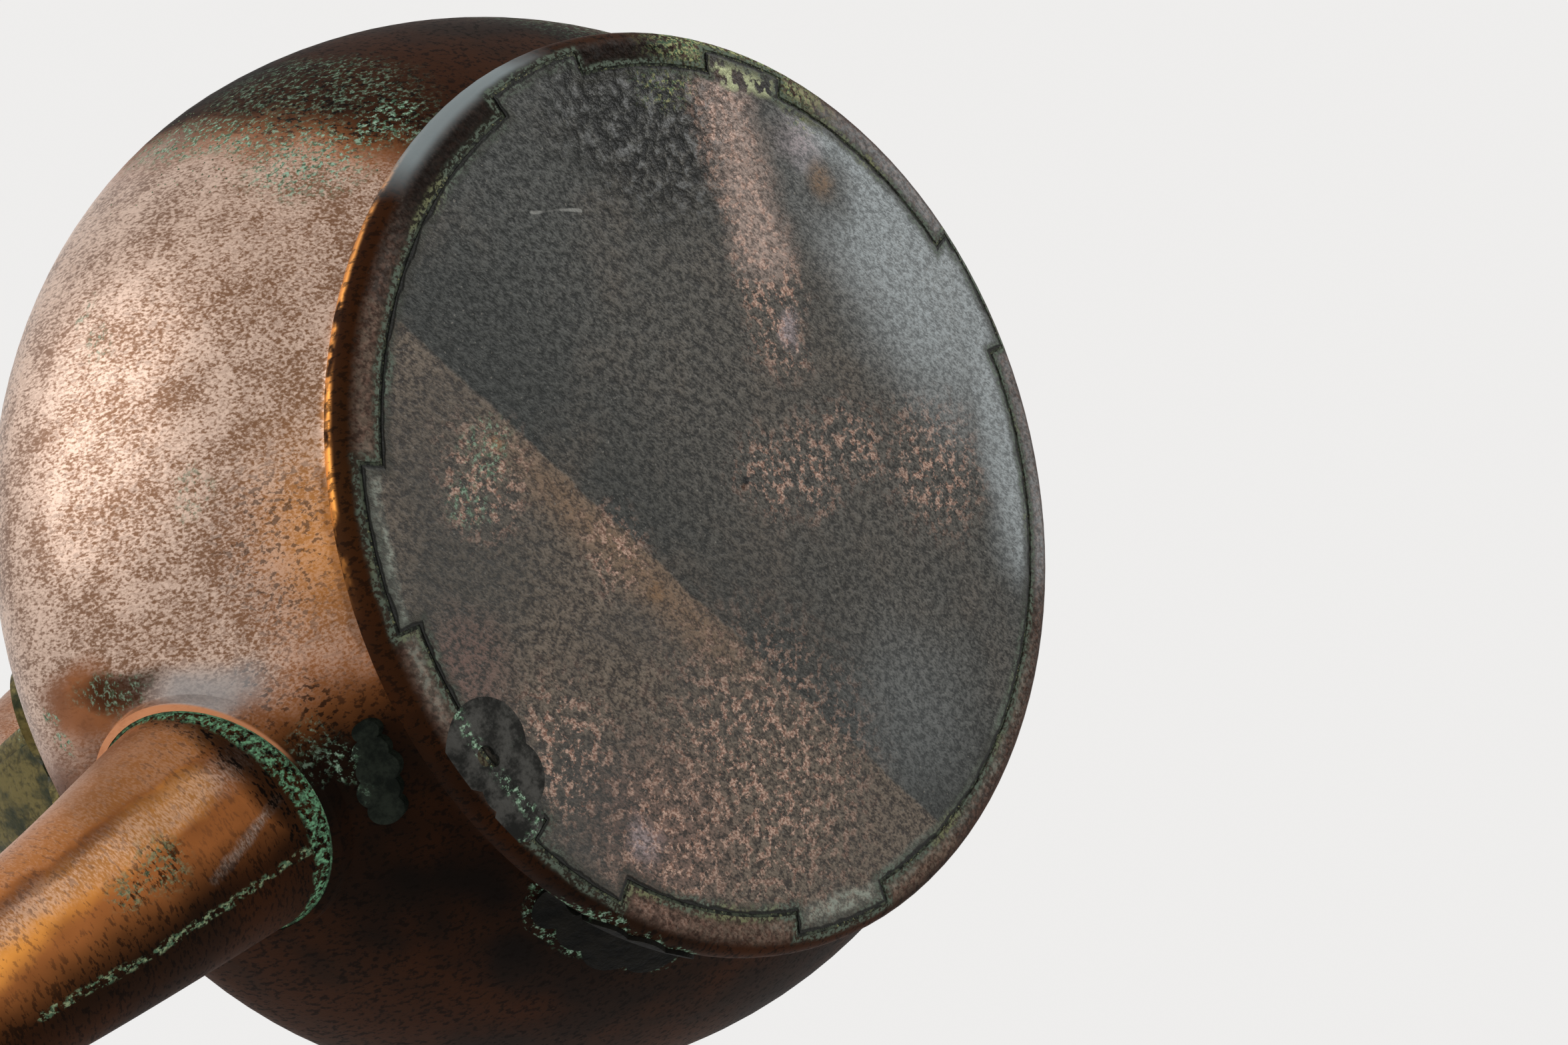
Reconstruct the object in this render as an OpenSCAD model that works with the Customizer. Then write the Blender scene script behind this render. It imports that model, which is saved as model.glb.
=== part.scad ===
// Old copper kettle: raised body with a cramped-in base, tapering gooseneck spout, brass handle
// brackets, tubular handle and loose lid. It stands on its base at z = 0, with the spout along +X.

/* [Body] */
// Radius at the rounded edge round the base
rim_r = 94.5; // [90:0.5:98]
// Rounding of that edge
rim_round = 4.5; // [3.5:0.1:5]
// Depth of the groove above that edge
groove_depth = 3; // [2:0.25:4.5]
// Height of the groove
groove_z = 9.2; // [9:0.1:11]
// Rounding of the groove
groove_round = 4; // [3.5:0.1:4.5]
// Half the angle that the groove turns through
groove_half = 40; // [34:1:44]
// Radius of the belly at its widest
belly_r = 118; // [112:1:126]
// Height of the widest place
belly_z = 80; // [76:1:90]
// Rounding of the shoulder above that place
shoulder_round = 38; // [30:1:46]
// Angle at which the shoulder runs into the crown
shoulder_turn = 34; // [28:1:42]
// Rounding of the crown
crown_round = 100; // [90:1:120]
// Thickness of the copper sheet
wall = 1.6; // [1.2:0.1:2.2]

/* [Neck] */
// Radius of the neck
neck_r = 61; // [56:0.5:66]
// Height of the upright part of the neck
neck_h = 9; // [7:0.5:14]
// Rounding between crown and neck
neck_round = 4; // [3:0.5:6]
// Radius of the wired edge of the neck
neck_bead_r = 2.2; // [1.8:0.1:2.8]

/* [Base seam] */
// Distance of the seam, between its cramps, inside the edge
seam_in = 8.3; // [8.2:0.1:12]
// How far each cramp reaches into the body's edge
cramp_depth = 4.4; // [3:0.2:5]
// Width of the brazed line
seam_gap = 0.7; // [0.5:0.1:1]
// Depth of the brazed line under the surface
seam_recess = 0.4; // [0.2:0.1:0.8]
// Thickness of the base plate
base_t = 2; // [1.6:0.1:3]
// Radius of the centre punch mark
punch_r = 0.9; // [0.6:0.1:1.2]

/* [Repairs] */
// Thickness of the solder run into the dent at the edge of the base
patch_t = 1; // [0.6:0.1:1.2]
// Radius of the largest dab of that solder
patch_r = 8.5; // [7.5:0.25:9]
// Radius of the hole worn in it
patch_hole_r = 1.9; // [1.4:0.1:2.4]
// Thickness of the solder smeared on the wall
smear_t = 0.9; // [0.5:0.1:1.5]
// Height of the middle of the smear in front
front_smear_z = 16.6; // [15:0.2:26]
// Half width of that smear
front_smear_r = 3.4; // [2.8:0.1:4.4]
// Height of the middle of the smear at the side, which also fills the groove
side_smear_z = 10.5; // [9:0.25:12]
// Half width of that smear
side_smear_r = 8; // [7:0.25:9]

/* [Spout] */
// Radius where the straight root ends and the bend begins
spout_root_r = 21.2; // [18:0.2:23]
// Narrowing of the straight root for each millimetre of its length
spout_taper = 0.14; // [0.08:0.01:0.18]
// Radius at the tip
spout_tip_r = 9.5; // [8:0.25:11]
// Thickness of the spout's sheet
spout_wall = 1.3; // [1:0.1:1.8]
// Height of the spout's axis at the body
spout_z = 50.5; // [49:0.5:54]
// Distance past the belly at which the straight root ends
spout_root_out = 10; // [7:0.5:18]
// Distance that the spout reaches past the belly
spout_out = 120; // [105:1:135]
// Height of the tip
spout_tip_z = 160; // [150:1:175]
// Length over which the bend starts out level
spout_level = 37; // [30:1:44]
// How far inside the tip the bottom of the bend pulls
elbow_in = 22; // [16:1:28]
// How far above the axis of the root it pulls
elbow_up = 14.5; // [10:0.5:20]
// How far inside the tip the throat pulls
throat_in = 30; // [24:1:36]
// How far below the tip it pulls
throat_down = 30; // [24:1:36]
// How far the root stands inside the body
spout_root_in = 2; // [1:0.5:4]
// Soldered gap between the spout and the hole in the body
spout_seat = 0.6; // [0.4:0.1:0.9]
// Height of the lip turned out of the body round the spout
lip_h = 2; // [1:0.25:3]
// Thickness of that lip
lip_t = 1.4; // [1:0.1:2]

/* [Handle] */
// Distance from the kettle's axis to each socket
socket_x = 88; // [80:1:96]
// Height of the sockets' mouths
socket_z = 202; // [190:1:220]
// Lean of the sockets towards the lid
socket_lean = 26; // [20:1:32]
// Depth to which the handle goes into each socket
socket_depth = 14; // [10:1:18]
// Radius of the sockets
socket_r = 10.5; // [9.5:0.25:12]
// Radius of the handle's ends
handle_end_r = 7; // [6:0.25:8]
// Radius of the handle at its middle
handle_mid_r = 11; // [9:0.25:13]
// Thickness of the handle's tube
handle_wall = 1.4; // [1:0.1:2]
// Length of the handle's pull above the sockets
handle_rise = 100; // [90:1:120]
// Clearance of the handle's ends in the sockets
handle_fit = 0.1; // [0.05:0.05:0.4]
// Radius of the pins across the sockets
pin_r = 1.6; // [1.2:0.1:2]

/* [Brackets] */
// Angle up the body at which the foot sits
foot_turn = 44; // [41:1:50]
// Thickness of the foot
foot_t = 3.2; // [2.5:0.1:4]
// Distance from the middle of the foot to each rivet
wing_y = 24.5; // [20:0.5:26]
// Radius of the rounded end of each wing
wing_r = 10.5; // [9:0.25:12]
// Angle between the rivets and the root of the upright
upright_up = 7; // [6:0.5:9]
// How far the upright leans out above its root
upright_out = 4; // [2:0.5:6]
// Height over which it leans out
upright_rise = 22; // [18:1:26]
// Half width of the upright at its root
upright_root_w = 23.5; // [20:0.5:25]
// Half width of the upright under the socket
upright_top_w = 8.5; // [7:0.25:10]
// Half thickness of the upright
upright_t = 5; // [4:0.25:6]
// Depth of the flutes as a share of the section
flute = 0.13; // [0.05:0.01:0.2]
// Radius of the bracket rivets
rivet_r = 2.4; // [1.8:0.1:3]
// Radius of the rivets' heads
rivet_head_r = 3.8; // [3.4:0.1:5]

/* [Lid] */
// Height of the lid's dome above its edge
lid_dome = 21; // [14:1:30]
// Thickness of the lid's sheet
lid_t = 1.3; // [1:0.1:1.8]
// How far the lid's edge reaches past the neck
lid_over = 3; // [2:0.25:4]
// Width of the flat ledge by which the lid rests
ledge_w = 8; // [6:0.5:12]
// Height of the ring under the lid
bezel_h = 14; // [10:1:20]
// Clearance of that ring in the neck
bezel_fit = 0.8; // [0.5:0.1:1.5]
// Radius of the knob
knob_r = 12; // [9:0.5:15]
// Height of the knob above the lid
knob_h = 25; // [20:1:32]
// Radius of the knob's shank
shank_r = 2.8; // [2:0.1:3.5]
// Radius of the washer under the lid
washer_r = 8; // [6:0.5:11]

/* [Hidden] */

copper = [0.72, 0.42, 0.27];
dark_copper = [0.48, 0.27, 0.18];
base_grey = [0.42, 0.41, 0.39];
lead = [0.33, 0.34, 0.33];
verdigris = [0.35, 0.52, 0.42];
brass = [0.60, 0.52, 0.27];

$fn = 96;

// Clearance where a flat face lies on a curved one
rest_gap = 0.15;
// Clearance on both sides of the solder in the spout's seat
solder_gap = 0.05;
// How far a cutting shape reaches past what it cuts
past = 2;

groove_r = rim_r - groove_depth;
seam_r = rim_r - seam_in;
spout_root_x = belly_r + spout_root_out;
spout_reach = belly_r + spout_out;

// Angles of the cramps round the base, from start to end, seen from above
cramps = [[12, 31], [-31, -17], [-76, -60], [171, 189], [122, 135], [84, 99]];

// Points on an arc about c in the section of the kettle
function arc(c, r, a0, a1, n) = [for (i = [0:n]) let (a = a0 + (a1 - a0) * i / n) c + r * [cos(a), sin(a)]];
function reversed(v) = [for (i = [len(v) - 1:-1:0]) v[i]];
function unit(v) = v / norm(v);

// The body's section is a chain of arcs, from the edge round the base up to the neck
rim_turn = 20;
rim_c = [rim_r - rim_round, rim_round];
groove_c = [groove_r + groove_round, groove_z];
wall_start = groove_c + groove_round * [-cos(groove_half), sin(groove_half)];
wall_rise = belly_z - wall_start[1];
wall_out = belly_r - wall_start[0];
wall_round = (pow(wall_rise, 2) + pow(wall_out, 2)) / (2 * wall_out);
wall_c = [belly_r - wall_round, belly_z];
wall_turn = -asin(wall_rise / wall_round);
shoulder_c = [belly_r - shoulder_round, belly_z];
crown_c = shoulder_c - (crown_round - shoulder_round) * [cos(shoulder_turn), sin(shoulder_turn)];
fillet_x = neck_r + neck_round;
fillet_rise = sqrt(pow(crown_round + neck_round, 2) - pow(fillet_x - crown_c[0], 2));
fillet_c = [fillet_x, crown_c[1] + fillet_rise];
crown_turn = atan2(fillet_rise, fillet_x - crown_c[0]);
neck_top = fillet_c[1] + neck_h;

// The outer surface moved out by e, as points from the base up
function skin(e) = concat(
    arc(rim_c, rim_round + e, -90, rim_turn, 8),
    arc(groove_c, groove_round - e, 180 + groove_half, 180 - groove_half, 8),
    arc(wall_c, wall_round + e, wall_turn, 0, 18),
    arc(shoulder_c, shoulder_round + e, 2, shoulder_turn, 8),
    arc(crown_c, crown_round + e, shoulder_turn + 2, crown_turn, 12),
    arc(fillet_c, neck_round - e, 180 + crown_turn, 180, 5));

// Radius of the surface moved out by e, at height z on the wall, the shoulder or the crown
crown_join_z = crown_c[1] + crown_round * sin(shoulder_turn);
function chord(r, d) = sqrt(max(0, r * r - d * d));
function surface_r(z, e) =
    z < belly_z ? wall_c[0] + chord(wall_round + e, belly_z - z)
    : z < crown_join_z ? shoulder_c[0] + chord(shoulder_round + e, z - belly_z)
    : crown_c[0] + chord(crown_round + e, z - crown_c[1]);

// Everything inside the surface moved out by e, up to the neck
module body_solid(e) {
    pts = skin(e);
    rotate_extrude() polygon(concat([[0, pts[0][1]]], pts, [[0, pts[len(pts) - 1][1]]]));
}

// Outline of the base plate with its cramps, grown by e
module cramped_disc(e, z0, z1) {
    side = e * 180 / (PI * seam_r);
    far = 2 * seam_r;
    translate([0, 0, z0]) {
        cylinder(r = seam_r + e, h = z1 - z0);
        for (c = cramps) intersection() {
            cylinder(r = seam_r + cramp_depth + e, h = z1 - z0);
            linear_extrude(z1 - z0) polygon([[0, 0],
                far * [cos(c[0] - side), sin(c[0] - side)],
                far * [cos(c[1] + side), sin(c[1] + side)]]);
        }
    }
}

// Dabs of the solder run over the seam, as shares of the largest: distance from it, place along it, radius
patch_dabs = [[-0.14, -0.82, 1], [-0.26, -1.76, 0.82], [0.035, -2.47, 0.59]];
// The two overlapping discs that make up the hole in it, with their radius as a share of the hole's
patch_holes = [[0.035, -1, 1], [-0.08, -1.19, 0.63]];
module patch_discs(discs, r, h) {
    translate([seam_r, 0, -past]) for (d = discs)
        translate(patch_r * [d[0], d[1]]) cylinder(r = d[2] * r, h = past + h);
}
module patch_shape() {
    patch_discs(patch_dabs, patch_r, patch_t);
}

// A place on the body, turned so that +Z leaves the surface there
module on_body(azimuth, turn, e) {
    c = turn > shoulder_turn ? crown_c : shoulder_c;
    r = (turn > shoulder_turn ? crown_round : shoulder_round) + e;
    rotate([0, 0, azimuth]) translate([c[0] + r * cos(turn), 0, c[1] + r * sin(turn)])
        rotate([0, 90 - turn, 0]) children();
}

// The spout leaves the body as a straight cone, then follows a curve that these points pull
spout_path = [[spout_root_x, spout_z], [spout_root_x + spout_level, spout_z],
    [spout_reach - elbow_in, spout_z + elbow_up], [spout_reach - throat_in, spout_tip_z - throat_down],
    [spout_reach, spout_tip_z]];
spout_sides = 40;
spout_rings = 28;
function curve(p, t) = len(p) == 1 ? p[0]
    : curve([for (i = [0:len(p) - 2]) p[i] * (1 - t) + p[i + 1] * t], t);
function heading(p, t) = unit(curve([for (i = [0:len(p) - 2]) p[i + 1] - p[i]], t));
function spout_r(t) = spout_tip_r + (spout_root_r - spout_tip_r) * pow(1 - t, 2);
function root_r(x) = spout_root_r + spout_taper * (spout_root_x - x);
function root_point(x, a, e) = [x, (root_r(x) + e) * sin(a), spout_z + (root_r(x) + e) * cos(a)];
function bend_point(t, a, e) = let (c = curve(spout_path, t), d = heading(spout_path, t), r = spout_r(t) + e)
    [c[0] - d[1] * r * cos(a), r * sin(a), c[1] + d[0] * r * cos(a)];

// Where a line along the spout's root meets the body's surface moved out by e, found by halving
function outside(p, e) = norm([p[0], p[1]]) > surface_r(p[2], e);
function root_start(a, skin_e, e, lo = neck_r, hi = spout_root_x, n = 16) = n == 0 ? hi
    : let (mid = (lo + hi) / 2)
        outside(root_point(mid, a, skin_e), e) ? root_start(a, skin_e, e, lo, mid, n - 1)
        : root_start(a, skin_e, e, mid, hi, n - 1);

// Solid cone of the spout's root grown by e, to cut and fit what goes round it
module root_cone(e) {
    inner_x = belly_r - 1.2 * spout_root_r;
    translate([inner_x, 0, spout_z]) rotate([0, 90, 0])
        cylinder(r1 = root_r(inner_x) + e, r2 = root_r(spout_root_x) + e, h = spout_root_x - inner_x);
}

// Rings of points joined into a closed skin; the last ring joins the first when round is true
function ring_faces(rings, sides, round) = [for (i = [0:rings - (round ? 1 : 2)], j = [0:sides - 1])
    let (k = (j + 1) % sides, n = (i + 1) % rings)
        each [[i * sides + j, n * sides + k, n * sides + j], [i * sides + j, i * sides + k, n * sides + k]]];
function fan_end(start, sides, tip) = [for (j = [0:sides - 1]) [start + j, tip, start + (j + 1) % sides]];
function last_end(start, sides) = [for (j = [0:sides - 1]) start + j];

module body() {
    color(copper) {
        difference() {
            union() {
                rotate_extrude($fn = 128) {
                    polygon(concat([[seam_r - past, 0]], skin(0), [[neck_r, neck_top]],
                        [[neck_r - wall, neck_top]], reversed(skin(-wall)), [[seam_r - past, wall]]));
                    translate([neck_r + neck_bead_r - wall, neck_top - neck_bead_r])
                        circle(r = neck_bead_r, $fn = 24);
                }
                spout_lip();
            }
            cramped_disc(seam_gap, -past, wall + past);
            root_cone(spout_seat);
            patch_shape();
            bracket_rivet_holes();
            mirror([1, 0, 0]) bracket_rivet_holes();
        }
    }
}

// The sheet turned out round the spout's hole
module spout_lip() {
    intersection() {
        root_cone(spout_seat + lip_t);
        difference() {
            body_solid(lip_h);
            body_solid(-wall / 2);
        }
    }
}

// The punch mark is a little off the centre
punch_at = [1.3, -0.8];
module base_plate() {
    color(base_grey) difference() {
        cramped_disc(0, 0, base_t);
        translate(concat(punch_at, [-punch_r]))
            cylinder(r1 = 2 * punch_r, r2 = 0, h = 2 * punch_r, $fn = 24);
        patch_shape();
    }
}

module base_seam_braze() {
    color(verdigris) difference() {
        cramped_disc(seam_gap, seam_recess, wall);
        cramped_disc(0, -past, base_t + past);
        patch_shape();
    }
}

module base_patch() {
    color(lead) difference() {
        intersection() {
            patch_shape();
            body_solid(0);
        }
        patch_discs(patch_holes, patch_hole_r, patch_t + past);
    }
}

// Solder smeared on the wall in overlapping round dabs, from one angle and height to another
module wall_smear(from, to, z0, z1, r, dabs) {
    intersection() {
        difference() {
            body_solid(smear_t);
            body_solid(0);
        }
        for (i = [0:dabs - 1]) {
            u = i / (dabs - 1);
            z = z0 + (z1 - z0) * u + 0.12 * r * sin(500 * u);
            rotate([0, 0, from + (to - from) * u]) translate([groove_r / 2, 0, z]) rotate([0, 90, 0])
                cylinder(r = r * (0.72 + 0.28 * sin(180 * (u + 0.15))), h = belly_r);
        }
    }
}

smear_tilt = 2;
module front_wall_solder() {
    color(lead)
        wall_smear(-5.7, 2.9, front_smear_z + smear_tilt, front_smear_z - smear_tilt, front_smear_r, 5);
}

module side_wall_solder() {
    color(lead) wall_smear(-43, -28, side_smear_z, side_smear_z, side_smear_r, 4);
}

// The spout's tube: the outer skin runs out to the tip and the inner skin runs back
module spout() {
    function root_ring(u, e) = [for (j = [0:spout_sides - 1])
        let (a = 360 * j / spout_sides, x0 = root_start(a, e, -wall - spout_root_in))
            root_point(x0 + (spout_root_x - x0) * u, a, e)];
    function bend_ring(t, e) = [for (j = [0:spout_sides - 1]) bend_point(t, 360 * j / spout_sides, e)];
    function skin_rings(e) = concat([for (u = [0, 0.5]) root_ring(u, e)],
        [for (i = [0:spout_rings - 1]) bend_ring(i / (spout_rings - 1), e)]);
    pts = [for (ring = concat(skin_rings(0), reversed(skin_rings(-spout_wall)))) each ring];
    color(copper) polyhedron(pts, ring_faces(2 * spout_rings + 4, spout_sides, true), convexity = 10);
}

module spout_solder() {
    color(verdigris) intersection() {
        difference() {
            root_cone(spout_seat - solder_gap);
            root_cone(solder_gap);
        }
        difference() {
            body_solid(0.85 * lip_h);
            body_solid(-wall);
        }
    }
}

// Where each rivet of the front bracket goes through foot and wall
rivet_azimuth = asin(wing_y / (crown_c[0] + crown_round * cos(foot_turn)));
module at_bracket_rivets(e) {
    for (side = [-1, 1]) on_body(side * rivet_azimuth, foot_turn, e) children();
}

module bracket_rivet_holes() {
    at_bracket_rivets(0) translate([0, 0, -3 * foot_t]) cylinder(r = rivet_r, h = 6 * foot_t, $fn = 32);
}

// Socket that takes one end of the handle, in its own frame with +Z out of its mouth
module at_socket() {
    translate([socket_x, 0, socket_z]) rotate([0, -socket_lean, 0]) children();
}

socket_dir = [-sin(socket_lean), cos(socket_lean)];
socket_base = 5;
socket_lip = 3;
socket_taper = 2;
socket_bead = 1;
upright_turn = foot_turn + upright_up;
upright_root = crown_c + (crown_round + foot_t / 2) * [cos(upright_turn), sin(upright_turn)];
upright_path = [upright_root, upright_root + [upright_out, upright_rise],
    [socket_x, socket_z] - 3 * socket_depth * socket_dir, [socket_x, socket_z] - socket_depth * socket_dir];
upright_sides = 42;
upright_rings = 18;
flutes = 7;
function crown_z(p, e) = let (r = norm(p)) r > crown_c[0] + crown_round * cos(shoulder_turn)
    ? shoulder_c[1] + chord(shoulder_round + e, r - shoulder_c[0])
    : crown_c[1] + chord(crown_round + e, r - crown_c[0]);
function upright_w(t) = upright_top_w + (upright_root_w - upright_top_w) * pow(cos(90 * t), 2);
function upright_ring(t) = let (c = curve(upright_path, t), d = heading(upright_path, t))
    [for (j = [0:upright_sides - 1])
        let (a = 360 * j / upright_sides, k = 1 - flute * (1 - t) * (1 + cos(flutes * 2 * a)) / 2,
            w = upright_w(t) * k * cos(a), h = upright_t * (1 + 0.25 * t) * k * sin(a),
            x = c[0] + d[1] * h, seat = crown_z([x, w], foot_t / 2) - upright_root[1])
            [x, w, c[1] - d[0] * h + seat * pow(1 - t, 4)]];

// Outline of the foot, with a wing for each rivet, a lobe between them and a bar under the upright
foot_margin = 3;
foot_waist = 10.5;
foot_block = 30;
module foot_outline() {
    bar_y = upright_up * PI / 180 * crown_round;
    bar_r = upright_t + foot_margin;
    square([2 * wing_y, 1.2 * wing_r], center = true);
    translate([0, -foot_margin]) circle(r = wing_y - foot_waist);
    translate([0, bar_y]) square([2 * (upright_root_w - bar_r), 2 * bar_r], center = true);
    for (sx = [-1, 1]) {
        translate([sx * (upright_root_w - bar_r + 1), bar_y]) circle(r = bar_r);
        translate([sx * wing_y, 0]) circle(r = wing_r);
    }
}

module upright() {
    count = upright_rings * upright_sides;
    pts = concat([for (i = [0:upright_rings - 1]) each upright_ring(i / (upright_rings - 1))],
        [[upright_root[0], 0, crown_z([upright_root[0], 0], foot_t / 2)]]);
    polyhedron(pts, concat(ring_faces(upright_rings, upright_sides, false), fan_end(0, upright_sides, count),
        [last_end(count - upright_sides, upright_sides)]), convexity = 6);
}

module bracket() {
    difference() {
        union() {
            intersection() {
                difference() {
                    body_solid(foot_t);
                    body_solid(0);
                }
                on_body(0, foot_turn, -foot_block / 3) rotate([0, 0, 90])
                    linear_extrude(foot_block) foot_outline();
            }
            upright();
            at_socket() translate([0, 0, -socket_depth - socket_base]) {
                cylinder(r1 = socket_r - socket_taper, r2 = socket_r, h = socket_base);
                translate([0, 0, socket_base]) cylinder(r = socket_r, h = socket_depth - socket_lip / 2);
                translate([0, 0, socket_base + socket_depth - socket_lip])
                    cylinder(r = socket_r + socket_bead, h = socket_lip);
            }
        }
        at_socket() translate([0, 0, -socket_depth])
            cylinder(r = handle_end_r + handle_fit, h = 2 * socket_depth);
        bracket_rivet_holes();
        socket_pin(past);
    }
}

module front_bracket() {
    color(brass) bracket();
}

module rear_bracket() {
    color(brass) mirror([1, 0, 0]) bracket();
}

// Domed outside, with the shank closed over inside the wall
module bracket_rivets() {
    head_h = 0.55 * rivet_head_r;
    ball_r = (pow(rivet_head_r, 2) + pow(head_h, 2)) / (2 * head_h);
    tail_h = 1.2;
    at_bracket_rivets(foot_t) {
        intersection() {
            translate([0, 0, head_h - ball_r]) sphere(r = ball_r);
            translate([0, 0, rest_gap]) cylinder(r = rivet_head_r, h = head_h);
        }
        translate([0, 0, -foot_t - wall - 2 * rest_gap - tail_h])
            cylinder(r = rivet_r, h = foot_t + wall + 3 * rest_gap + tail_h + head_h / 4, $fn = 32);
    }
    at_bracket_rivets(-wall) translate([0, 0, -2 * rest_gap - tail_h])
        cylinder(r = 0.9 * rivet_head_r, h = tail_h);
}

module front_bracket_rivets() {
    color(copper) bracket_rivets();
}

module rear_bracket_rivets() {
    color(copper) mirror([1, 0, 0]) bracket_rivets();
}

// The handle is a tube that swells towards the middle
handle_foot = [socket_x, socket_z] - (socket_depth - rest_gap) * socket_dir;
handle_pull = [socket_x, socket_z] + handle_rise * socket_dir;
handle_path = [[socket_x, socket_z], handle_pull, [-handle_pull[0], handle_pull[1]], [-socket_x, socket_z]];
handle_sides = 24;
handle_rings = 41;
function smooth(x) = let (u = min(1, max(0, x))) u * u * (3 - 2 * u);
function handle_r(t) = handle_end_r
    + (handle_mid_r - handle_end_r) * smooth((0.5 - abs(t - 0.5) - 0.03) / 0.33);
function handle_ring(c, d, r) = [for (j = [0:handle_sides - 1]) let (a = 360 * j / handle_sides)
    [c[0] - d[1] * r * cos(a), r * sin(a), c[1] + d[0] * r * cos(a)]];
module handle() {
    function skin_rings(e) = concat([handle_ring(handle_foot, socket_dir, handle_end_r + e)],
        [for (i = [0:handle_rings - 1]) let (t = i / (handle_rings - 1))
            handle_ring(curve(handle_path, t), heading(handle_path, t), handle_r(t) + e)],
        [handle_ring([-handle_foot[0], handle_foot[1]], [socket_dir[0], -socket_dir[1]], handle_end_r + e)]);
    pts = [for (ring = concat(skin_rings(0), reversed(skin_rings(-handle_wall)))) each ring];
    color(dark_copper) difference() {
        polyhedron(pts, ring_faces(2 * handle_rings + 4, handle_sides, true), convexity = 10);
        socket_pin(past);
        mirror([1, 0, 0]) socket_pin(past);
    }
}

// Pin across a socket, holding the handle in it
pin_proud = 0.6;
module socket_pin(past) {
    length = 2 * (socket_r + past);
    at_socket() translate([0, 0, -socket_depth / 2]) rotate([90, 0, 0])
        cylinder(r = pin_r, h = length, center = true, $fn = 32);
}

module handle_pins() {
    color(brass) {
        socket_pin(pin_proud);
        mirror([1, 0, 0]) socket_pin(pin_proud);
    }
}

// The lid rests on the wired edge of the neck
lid_r = neck_r + lid_over;
ledge_r = lid_r - ledge_w;
dome_round = (pow(ledge_r, 2) + pow(lid_dome, 2)) / (2 * lid_dome);
dome_half = asin(ledge_r / dome_round);
dome_c = [0, neck_top + lid_dome - dome_round];
module lid() {
    color(copper) difference() {
        rotate_extrude($fn = 128) {
            polygon(concat([[lid_r, neck_top]], [[lid_r, neck_top + lid_t]],
                arc(dome_c, dome_round + lid_t, 90 - dome_half, 90, 14),
                arc(dome_c, dome_round, 90, 90 - dome_half, 14)));
            translate([lid_r, neck_top + lid_t]) circle(r = lid_t, $fn = 20);
        }
        translate([0, 0, neck_top]) cylinder(r = shank_r, h = 2 * lid_dome, $fn = 32);
    }
}

module lid_bezel() {
    color(copper) translate([0, 0, neck_top - bezel_h]) difference() {
        cylinder(r = neck_r - wall - bezel_fit, h = bezel_h, $fn = 128);
        translate([0, 0, -past])
            cylinder(r = neck_r - wall - bezel_fit - lid_t, h = bezel_h + 2 * past, $fn = 128);
    }
}

// Turned knob, with its shank through the lid and closed over the washer
crown_top = neck_top + lid_dome;
washer_t = 1.6;
tail_t = 1.4;
foot_edge = 1.5;
waist_round = 3;
button_r = 3;
washer_gap = 2 * rest_gap + (dome_round - sqrt(pow(dome_round, 2) - pow(washer_r, 2)));
module lid_knob() {
    base = crown_top + lid_t;
    foot_r = 0.75 * knob_r;
    waist_r = 0.36 * knob_r;
    ball_z = base + 0.62 * knob_h;
    tail = crown_top - washer_gap - washer_t;
    color(brass) rotate_extrude($fn = 64) polygon(concat([[0, tail - tail_t], [1.5 * shank_r, tail - tail_t],
        [1.5 * shank_r, tail], [shank_r, tail], [shank_r, base + rest_gap], [foot_r, base + rest_gap]],
        arc([foot_r - foot_edge, base + rest_gap + foot_edge], foot_edge, -60, 90, 6),
        arc([waist_r + waist_round, base + 0.28 * knob_h], waist_round, -120, -220, 8),
        arc([0.3 * knob_r, ball_z], 0.7 * knob_r, -40, 60, 12),
        arc([0, base + knob_h - button_r], button_r, 20, 90, 6)));
}

module knob_washer() {
    color(brass) translate([0, 0, crown_top - washer_gap - washer_t]) difference() {
        cylinder(r = washer_r, h = washer_t, $fn = 48);
        translate([0, 0, -past]) cylinder(r = shank_r, h = washer_t + 2 * past, $fn = 32);
    }
}

body();
base_plate();
base_seam_braze();
base_patch();
front_wall_solder();
side_wall_solder();
spout();
spout_solder();
front_bracket();
rear_bracket();
front_bracket_rivets();
rear_bracket_rivets();
handle();
handle_pins();
lid();
lid_bezel();
lid_knob();
knob_washer();
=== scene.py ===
# %% [markdown]
# # An old copper kettle, seen from below
# The kettle comes in as a frame of exact solids, one for each piece that the coppersmith made. This script gives
# every piece its surface: worn copper, heat-greyed base, green corrosion in the joints, tarnished cast brass.
# Sizes are in metres, except where a comment says millimetres. +Z is up and the spout points along +X.

# %% Load the solids
import math

import bmesh
import bpy
from mathutils import Matrix, Vector


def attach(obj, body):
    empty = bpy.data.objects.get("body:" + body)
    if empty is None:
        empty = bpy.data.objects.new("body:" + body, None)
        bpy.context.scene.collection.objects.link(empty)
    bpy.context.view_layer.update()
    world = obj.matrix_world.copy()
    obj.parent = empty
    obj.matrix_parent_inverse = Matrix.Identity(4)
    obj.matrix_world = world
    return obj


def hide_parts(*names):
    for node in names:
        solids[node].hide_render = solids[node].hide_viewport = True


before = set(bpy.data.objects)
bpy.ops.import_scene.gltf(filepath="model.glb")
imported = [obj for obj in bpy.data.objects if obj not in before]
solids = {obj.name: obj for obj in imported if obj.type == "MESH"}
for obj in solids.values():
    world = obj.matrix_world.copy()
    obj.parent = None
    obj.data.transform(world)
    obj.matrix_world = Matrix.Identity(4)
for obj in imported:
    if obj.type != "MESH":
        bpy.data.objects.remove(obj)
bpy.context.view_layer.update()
scene = bpy.context.scene


def stand(name, data):
    """A new object in the scene that shows this data"""
    made = bpy.data.objects.new(name, data)
    scene.collection.objects.link(made)
    return made


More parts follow.
